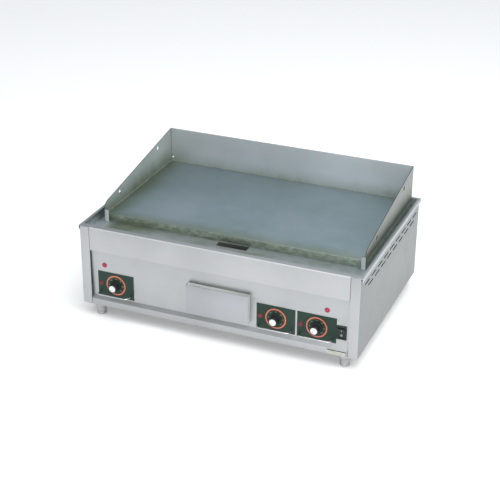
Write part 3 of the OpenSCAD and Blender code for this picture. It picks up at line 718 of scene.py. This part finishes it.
sheath = speckled("element_sheath", rgb(0.05, 0.05, 0.05), rgb(0.10, 0.09, 0.08), 0.6, 0.5)
board = speckled("insulation_board", rgb(0.68, 0.66, 0.60), rgb(0.8, 0.78, 0.72), 0.0, 0.9, 90, 0.4)
copper = speckled("copper_tube", rgb(0.50, 0.25, 0.14), rgb(0.66, 0.36, 0.22), 1.0, 0.32)
moulded = speckled("moulded_case", rgb(0.62, 0.58, 0.48), rgb(0.72, 0.68, 0.58), 0.0, 0.45)
for number in (1, 2, 3):
    eased(f"element_{number}", f"heating_element_{number}", sheath, "cabinet",
          0.1, 50)
    eased(f"thermostat_{number}", f"thermostat_body_{number}", moulded, "cabinet",
          0.8, 4.0)
eased("element_clamps", "heating_element_clamps", inner_steel, "cabinet", 0.4, 3.0)
eased("plate_studs", "clamp_studs", zinc, "cabinet", 0.1, 50)
eased("stud_nuts", "clamp_nuts", zinc, "cabinet", 0.5, 3.0)
eased("heat_tray", "heat_tray_sheet", inner_steel, "cabinet", 0.4, 4.0)
eased("insulation_board", "insulation_slab", board, "cabinet", 0.8, 4.0)
eased("sensor_bulbs", "sensor_tubes", copper, "cabinet", 0.1, 500)


# ---- control plates ----
# Dark enamelled plates behind the dials, each printed with an orange temperature ring, a
# dark red band, ticks and numbers. The thermostat's nut and shaft come through the middle.

def enamel(name, colour, rough=0.42, gloss=0.25):
    f = Finish(name)
    peel = f.noise(130, 3)
    cloud = f.noise(9, 3)
    shade = cloud.between(0.3, 0.7).blend(toned(colour, 0.85), toned(colour, 1.15))
    return f.surface(
        shade, 0.0, rough + (cloud - 0.5) * 0.1, peel, 0.06, 0.0001, Specular_IOR_Level=gloss
    )


plate_enamel = enamel("control_plate_enamel", rgb(0.018, 0.042, 0.030))
ring_print = enamel("ring_print", rgb(0.66, 0.20, 0.125), 0.5)
pale_print = enamel("pale_print", rgb(0.34, 0.40, 0.26), 0.5)
FACE_OUT = Matrix.Rotation(math.radians(90), 4, "X")


def flat_ring(inner, outer, thick, steps=96):
    profile = [(inner, 0), (outer, 0), (outer, thick), (inner, thick), (inner, 0)]
    return lathe(profile, steps, "ring")


def arc_marks():
    """Stands copies of the host shape along an arc, each pointing at the centre."""
    tree, given = tree_of(
        "arc_marks", Count=int, Radius=float, Start=float, Sweep=float, Material=bpy.types.Material
    )
    arc = given["Count"].node(
        "GeometryNodeCurveArc", {"mode": "RADIUS"},
        {"Resolution": given["Count"], "Radius": given["Radius"], "Start Angle": given["Start"],
         "Sweep Angle": given["Sweep"]},
    )
    spot = arc.node("GeometryNodeInputPosition")
    turn = arc.node("FunctionNodeAlignRotationToVector", {"axis": "X"}, {"Vector": spot})
    marks = arc.node(
        "GeometryNodeInstanceOnPoints", None,
        {"Points": arc, "Instance": given["Geometry"], "Rotation": turn},
    )
    finish_tree(marks, given["Material"])
    return tree


def block_mesh(size, place=(0, 0, 0), ease=0.0):
    """A small block in millimetres, its edges eased."""
    mesh = bpy.data.meshes.new("block")
    bm = bmesh.new()
    scaled = Matrix.Diagonal((*(s * MM for s in size), 1))
    bmesh.ops.create_cube(bm, size=1.0, matrix=Matrix.Translation(Vector(place) * MM) @ scaled)
    if ease:
        bmesh.ops.bevel(
            bm, geom=bm.edges[:], offset=ease * MM, segments=2, profile=0.5, affect="EDGES"
        )
    bm.to_mesh(mesh)
    bm.free()
    return mesh


def joined(*meshes):
    bm = bmesh.new()
    for mesh in meshes:
        bm.from_mesh(mesh)
    made = bpy.data.meshes.new("joined")
    bm.to_mesh(made)
    bm.free()
    return made


def numeral(text, size, thick, spot):
    """A raised numeral, centred on its spot, in millimetres."""
    curve = bpy.data.curves.new("numeral", "FONT")
    curve.body = text
    curve.size = size * MM
    curve.extrude = thick * MM / 2
    curve.align_x = "CENTER"
    curve.align_y = "CENTER"
    curve.resolution_u = 2
    holder = bpy.data.objects.new("numeral", curve)
    bpy.context.scene.collection.objects.link(holder)
    depsgraph = bpy.context.evaluated_depsgraph_get()
    depsgraph.update()
    made = bpy.data.meshes.new_from_object(holder.evaluated_get(depsgraph))
    bpy.data.objects.remove(holder)
    made.transform(Matrix.Translation(Vector(spot) * MM))
    return made


arc_tree = arc_marks()
tick = block_mesh((1.8, 0.5, 0.14))
hot_dash = block_mesh((2.6, 1.5, 0.1))
hot_print = enamel("hot_zone_print", rgb(0.16, 0.012, 0.012), 0.5)
DIAL_START, DIAL_SWEEP = math.radians(225), math.radians(-270)
HOT_START, HOT_SWEEP = math.radians(112), math.radians(-158)
RING_IN, RING_OUT = 28.8, 32.6
HOT_R, TICK_R, NUMERAL_R = 27.35, 26.9, 22.4
LAST_NUMERAL, NUMERAL_STEP = 6, 50
for number in (1, 2, 3):
    low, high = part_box(f"control_plate_{number}")
    knob_low, knob_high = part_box(f"knob_{number}")
    centre = Vector(((knob_low.x + knob_high.x) / 2, low.y, (knob_low.z + knob_high.z) / 2))
    face = Matrix.Translation(centre) @ FACE_OUT
    eased(f"control_plate_{number}", f"dial_plate_{number}", plate_enamel, "cabinet",
          0.25, 4.0)
    ring = flat_ring(RING_IN, RING_OUT, 0.18)
    ring.transform(face)
    put(f"dial_ring_{number}", ring, ring_print, "cabinet")
    band = grown(arc_tree, hot_dash.copy(), face, Count=60, Radius=HOT_R * MM, Start=HOT_START,
                 Sweep=HOT_SWEEP, Material=hot_print)
    put(f"dial_hot_zone_{number}", band, hot_print, "cabinet")
    ticks = grown(arc_tree, tick.copy(), face, Count=28, Radius=TICK_R * MM, Start=DIAL_START,
                  Sweep=DIAL_SWEEP, Material=pale_print)
    marks = []
    for step in range(LAST_NUMERAL + 1):
        a = DIAL_START + DIAL_SWEEP * step / LAST_NUMERAL
        spot = (NUMERAL_R * math.cos(a), NUMERAL_R * math.sin(a), 0.08)
        marks.append(numeral(str(NUMERAL_STEP * step), 4.2, 0.16, spot))
    numbers = joined(*marks)
    numbers.transform(face)
    put(f"dial_marks_{number}", joined(ticks, numbers), pale_print, "cabinet")
eased("bush_nuts", "thermostat_nuts", zinc, "cabinet", 0.3, 2.0)


# ---- dials ----
# Black moulded knobs with a fluted grip and a white cap, each pushed on a thermostat's
# steel shaft.

def moulding(name, colour, rough=0.4, gloss=0.35):
    f = Finish(name)
    pores = f.noise(700, 2)
    hands = f.noise(50, 3).between(0.4, 0.75)
    return f.surface(
        toned(colour, 1.0), 0.0, rough + hands * 0.1, pores, 0.05, 0.00008, Specular_IOR_Level=gloss
    )


knob_black = moulding("knob_black", rgb(0.012, 0.014, 0.015))
cap_white = moulding("knob_cap_white", rgb(0.74, 0.75, 0.75), 0.3, 0.5)
FLUTES = 18
CAP_SEAT = 1.5


def fluted_knob(grip, skirt, depth, hollow, deep):
    """A skirted knob whose grip is fluted by a cosine rule, open in front for its cap."""
    steps = FLUTES * 8
    profile = [
        (0, 0.0, 0), (skirt - 0.5, 0.0, 0), (skirt, 0.5, 0), (skirt, 1.6, 0), (skirt - 0.6, 2.4, 0),
        (grip + 0.2, 2.9, 0), (grip - 0.1, 3.6, 0.4), (grip, 4.6, 1), (grip, depth - 1.6, 1),
        (grip - 0.25, depth - 0.7, 0.9), (grip - 0.9, depth - 0.1, 0.5), (grip - 1.4, depth, 0),
        (hollow, depth, 0), (hollow, depth - deep, 0), (0, depth - deep, 0),
    ]
    mesh = bpy.data.meshes.new("knob")
    bm = bmesh.new()
    rings = []
    for radius, height, cut_in in profile:
        if radius == 0:
            rings.append([bm.verts.new((0, 0, height * MM))])
            continue
        ring = []
        for k in range(steps):
            a = 2 * math.pi * k / steps
            r = radius - cut_in * 0.55 * (0.5 + 0.5 * math.cos(FLUTES * a)) ** 2
            ring.append(bm.verts.new((r * MM * math.cos(a), r * MM * math.sin(a), height * MM)))
        rings.append(ring)
    for lower, upper in zip(rings, rings[1:]):
        for k in range(steps):
            n = (k + 1) % steps
            corners = [lower[k % len(lower)], lower[n % len(lower)],
                       upper[n % len(upper)], upper[k % len(upper)]]
            unique = list(dict.fromkeys(corners))
            if len(unique) > 2:
                bm.faces.new(unique)
    bmesh.ops.recalc_face_normals(bm, faces=bm.faces)
    bm.to_mesh(mesh)
    bm.free()
    return mesh


for number in (1, 2, 3):
    low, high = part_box(f"knob_{number}")
    cap_low, cap_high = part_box(f"knob_cap_{number}")
    centre = Vector(((low.x + high.x) / 2, high.y, (low.z + high.z) / 2))
    face = Matrix.Translation(centre) @ FACE_OUT
    cap_r = (cap_high.x - cap_low.x) / 2 / MM
    depth = (high.y - low.y) / MM
    skirt = (high.x - low.x) / 2 / MM
    knob = fluted_knob(skirt - 3, skirt, depth, cap_r + 0.02, CAP_SEAT)
    knob.transform(face)
    body = f"dial_{number}"
    put(f"dial_knob_{number}", knob, knob_black, body, [f"knob_{number}"])
    proud = (low.y - cap_low.y) / MM
    floor_z, top_z = depth - CAP_SEAT, depth + proud
    cap = lathe([
        (0, floor_z), (cap_r, floor_z), (cap_r, top_z - 0.5), (cap_r - 0.5, top_z - 0.1),
        (cap_r - 1.4, top_z), (0, top_z),
    ], 64, "cap")
    cap.transform(face)
    put(f"dial_cap_{number}", cap, cap_white, body, [f"knob_cap_{number}"])
    pointer = joined(
        block_mesh((0.9, 5.0, 0.5), (0, cap_r - 4.2, depth + proud)),
        block_mesh((1.0, 3.0, 0.5), (0, skirt - 1.9, 2.55)),
    )
    pointer.transform(face @ Matrix.Rotation(math.radians(135), 4, "Z"))
    put(f"dial_pointer_{number}", pointer, knob_black, body)
    eased(f"shaft_{number}", f"dial_shaft_{number}", zinc, body, 0.1, 50)


# ---- lamps ----
# Neon pilot lamps with domed red lenses in bezels of the same red: two power lamps on the
# panel and a heater lamp at the left edge of each control plate.

def lens(name, deep, bright):
    f = Finish(name)
    swirl = f.noise(160, 3)
    shade = swirl.between(0.35, 0.7).blend(deep, bright)
    return f.surface(
        shade, 0.0, 0.22 + (swirl - 0.5) * 0.08, swirl, 0.05, 0.0001, Specular_IOR_Level=0.35,
        Emission_Color=bright, Emission_Strength=0.05,
    )


power_red = lens("power_lamp_red", rgb(0.30, 0.025, 0.055), rgb(0.42, 0.04, 0.08))
heater_red = lens("heater_lamp_red", rgb(0.11, 0.018, 0.02), rgb(0.17, 0.03, 0.035))
for node, finish, title in (
    ("power_lamps", power_red, "power"), ("heater_lamps", heater_red, "heater")
):
    domes, rims = [], []
    for low, high in islands(node):
        r = (high.x - low.x) / 2 / MM
        proud = 4.0
        spot = Vector(((low.x + high.x) / 2, low.y + proud * MM, (low.z + high.z) / 2))
        face = Matrix.Translation(spot) @ FACE_OUT
        profile = [(0, -6), (r - 1.8, -6), (r - 1.8, 0), (r - 1.0, 0.05), (r - 1.0, 1.4)]
        for k in range(9):
            a = math.radians(90 * k / 8)
            profile.append(((r - 1.0) * math.cos(a), 1.4 + (proud - 1.4) * math.sin(a)))
        profile[-1] = (0, proud)
        dome = lathe(profile, 48, "lens")
        dome.transform(face)
        domes.append(dome)
        rim = lathe([(r - 1.0, 0.01), (r, 0.01), (r, 0.9), (r - 0.3, 1.3), (r - 0.8, 1.35),
                     (r - 1.0, 1.2), (r - 1.0, 0.01)], 48, "rim")
        rim.transform(face)
        rims.append(rim)
    put(f"{title}_lamp_lenses", joined(*domes), finish, "cabinet", [node])
    put(f"{title}_lamp_bezels", joined(*rims), finish, "cabinet")


# ---- knob guard bars ----
# Bent chromed rods in front of the dials' lower edge; their legs go through the control
# plates and are held behind the panel.

def chrome(name, middle, r):
    """Bright plate, with a painted dark reflection along the underside of a level rod where it
    faces the ledge.
    """
    f = Finish(name)
    haze = f.noise(35, 3).between(0.4, 0.75)
    pits = f.noise(900, 2)
    shade = haze.blend(rgb(0.60, 0.60, 0.61), rgb(0.50, 0.51, 0.52))
    # Painted reflection: the rod's underside turns near black below its middle.
    painted_dark_underside = f.axis("Z").between(middle - r * 0.05, middle - r * 0.55)
    shade = painted_dark_underside.blend(shade, rgb(0.09, 0.10, 0.10))
    return f.surface(shade, 1.0, 0.12 + haze * 0.1, pits, 0.03, 0.00005)


bar_low, bar_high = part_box("guard_bar_1")
bar_chrome = chrome("bar_chrome", (bar_low.z + bar_high.z) / 2, (bar_high.z - bar_low.z) / 2)
for number in (1, 2, 3):
    low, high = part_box(f"guard_bar_{number}")
    r = (high.z - low.z) / 2
    z = (low.z + high.z) / 2
    left, right, out = low.x + r, high.x - r, low.y + r
    bar = grown(
        rod_tree,
        path_mesh([(left, high.y, z), (left, out, z), (right, out, z), (right, high.y, z)]),
        None, Bend=0.009, Radius=r, Rough=0.0, Grain=1.0, Sides=24, Material=bar_chrome,
    )
    put(f"knob_guard_bar_{number}", bar, bar_chrome, "cabinet",
        [f"guard_bar_{number}"], smooth=50)


# ---- power switch ----
# A moulded rocker switch clipped into the panel beside the right-hand dial.

switch_black = moulding("switch_black", rgb(0.014, 0.024, 0.020), 0.38)
mark_white = moulding("switch_mark", rgb(0.55, 0.60, 0.56), 0.5)
eased("switch_case", "power_switch_case", switch_black, "cabinet", 0.8, 3.0)
eased("switch_rocker", "power_rocker_cap", switch_black, "power_rocker", 0.5, 3.0)
low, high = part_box("switch_rocker")
for title, rise, sunk, tilt, shape in (
    ("on", 7.8, 2.2, 18.6, block_mesh((1.1, 5.4, 0.2), (0, 0, 0.1), 0.05)),
    ("off", -7.8, 4.5, -3.2, flat_ring(1.7, 2.7, 0.2, 32)),
):
    spot = Vector((
        (low.x + high.x) / 2, low.y + sunk * MM, (low.z + high.z) / 2 + rise * MM
    ))
    turn = Matrix.Rotation(math.radians(tilt), 4, "X")
    shape.transform(Matrix.Translation(spot) @ turn @ FACE_OUT)
    put(f"power_mark_{title}", shape, mark_white, "power_rocker")


# ---- rating plate ----
# A blank printed metal plate riveted on the toe flange.

def printed_plate(name):
    f = Finish(name)
    stain = f.noise(60, 4).between(0.45, 0.75)
    shade = stain.blend(rgb(0.56, 0.56, 0.49), rgb(0.42, 0.42, 0.36))
    return f.surface(shade, 0.1, 0.45 + stain * 0.1, stain, 0.05, 0.0001)


cream = printed_plate("rating_plate_print")
dark_print_and_shade = enamel("dark_print_and_shade", rgb(0.05, 0.06, 0.045), 0.5)
low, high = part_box("rating_plate")
eased("rating_plate", "rating_plate_sheet", cream, "cabinet", 0.15, 3.0)
wide, tall = (high.x - low.x) / MM, (high.z - low.z) / MM
face = Matrix.Translation(((low.x + high.x) / 2, low.y, (low.z + high.z) / 2)) @ FACE_OUT
# The wide dark bands along the top and right edges are painted shade; the thin rules and the
# divider are print.
lines = [
    block_mesh((wide - 1, 3.2, 0.1), (0, tall / 2 - 1.9, 0)),
    block_mesh((1.6, tall - 1, 0.1), (wide / 2 - 1.2, 0, 0)),
    block_mesh((wide - 10, 0.5, 0.1), (0, 0.4, 0)), block_mesh((wide - 10, 0.5, 0.1), (0, -3.0, 0)),
    block_mesh((0.5, tall - 5, 0.1), (-6, -0.8, 0)),
]
shade_bands_and_rules = joined(*lines)
shade_bands_and_rules.transform(face)
put("rating_plate_shade_and_lines", shade_bands_and_rules, dark_print_and_shade, "cabinet")
rivet = lathe([(0, -0.3), (1.6, -0.3), (1.6, 0.1), (1.3, 0.6), (0.7, 0.85), (0, 0.9)], 20, "rivet")
rivets = [rivet.copy(), rivet.copy()]
for s, one in zip((-1, 1), rivets):
    one.transform(face @ Matrix.Translation((s * (wide / 2 - 3.2) * MM, -1.0 * MM, 0)))
put("rating_plate_rivets", joined(*rivets), zinc, "cabinet")


# ---- grease drawer ----
# A deep folded pan behind a box-shaped front whose open top is the finger pull; it slides
# on two angle rails.

drawer_steel = brushed("drawer_steel", rgb(0.395, 0.405, 0.425))
# The pocket inside the drawer front takes a much paler copy of the steel: painted light in the
# recess.
pocket_steel_painted_light = brushed("pocket_steel_painted_light", rgb(0.80, 0.82, 0.79), ALONG_X, 0.6)
pocket_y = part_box("drawer_front")[0].y + 0.0005
eased("drawer_front", "grease_drawer_front", [drawer_steel, pocket_steel_painted_light], "grease_drawer",
      0.4, 3.0, (),
      lambda face: 1 if face.calc_center_median().y > pocket_y and face.normal.z < 0.9 else 0)
eased("drawer_pan", "grease_drawer_pan", inner_steel, "grease_drawer", 0.4)
for side in ("left", "right"):
    eased("drawer_rail_" + side, "drawer_guide_" + side, inner_steel, "cabinet", 0.3)


# ---- wiring parts and cable entry ----
# A contactor and a terminal block on the base, and a nylon gland through the rear panel.

gland_black = moulding("gland_nylon", rgb(0.02, 0.02, 0.021), 0.45)
eased("contactor", "contactor_block", moulded, "cabinet", 0.8, 3.0)
eased("terminal_block", "terminal_strip", moulded, "cabinet", 0.6, 3.0)
eased("cable_gland", "cable_gland_body", gland_black, "cabinet", 0.5, 3.0)


# ---- studio ----
# A pale floor, one large soft light overhead to the right, and a pale surround.

floor_mesh = bpy.data.meshes.new("studio_floor")
bm = bmesh.new()
bmesh.ops.create_grid(bm, x_segments=8, y_segments=8, size=30)
bm.to_mesh(floor_mesh)
bm.free()
floor = bpy.data.objects.new("studio_floor", floor_mesh)
bpy.context.scene.collection.objects.link(floor)
paper = Finish("studio_paper")
tooth = paper.noise(300, 2)
floor_mesh.materials.append(paper.surface(
    rgb(0.9, 0.9, 0.9), 0.0, 0.8 + tooth * 0.1, tooth, 0.02,
    Emission_Color=rgb(1, 1, 1), Emission_Strength=0.14,
))

world = bpy.data.worlds.new("studio")
world.use_nodes = True
sky = Reading(world.node_tree)
sky.tree.nodes.clear()
glow = sky.node("ShaderNodeBackground", None, {"Color": rgb(0.82, 0.85, 0.88), "Strength": 0.76})
sky.node("ShaderNodeOutputWorld", None, {"Surface": glow})
bpy.context.scene.world = world


def soft_light(name, place, aim, width, depth, power):
    data = bpy.data.lights.new(name, "AREA")
    data.shape = "RECTANGLE"
    data.size = width
    data.size_y = depth
    data.energy = power
    lamp = bpy.data.objects.new(name, data)
    lamp.location = place
    lamp.rotation_euler = (Vector(aim) - Vector(place)).to_track_quat("-Z", "Y").to_euler()
    bpy.context.scene.collection.objects.link(lamp)


soft_light("overhead_softbox", (0.9, -0.9, 3.4), (0, 0, 0), 3.8, 3.4, 118)
soft_light("right_softbox", (3.0, -0.4, 2.2), (0, 0, 0.3), 1.6, 1.6, 14)
soft_light("front_fill", (1.8, -4.2, 1.4), (0.2, 0, 0.1), 2.6, 1.4, 26)

camera_data = bpy.data.cameras.new("camera")
camera_data.sensor_width = 36
camera_data.lens = 91.66
camera_data.clip_end = 100
camera = bpy.data.objects.new("camera", camera_data)
bpy.context.scene.collection.objects.link(camera)
camera.rotation_mode = "QUATERNION"
camera.location = (1.340, -3.325, 1.950)
around, down, roll = 22.124, 26.383, 0.48
camera.rotation_quaternion = (
    Matrix.Rotation(math.radians(around), 3, "Z")
    @ Matrix.Rotation(math.radians(90 - down), 3, "X")
    @ Matrix.Rotation(math.radians(roll), 3, "Z")
).to_quaternion()
bpy.context.scene.camera = camera
bpy.context.scene.view_settings.view_transform = "Standard"
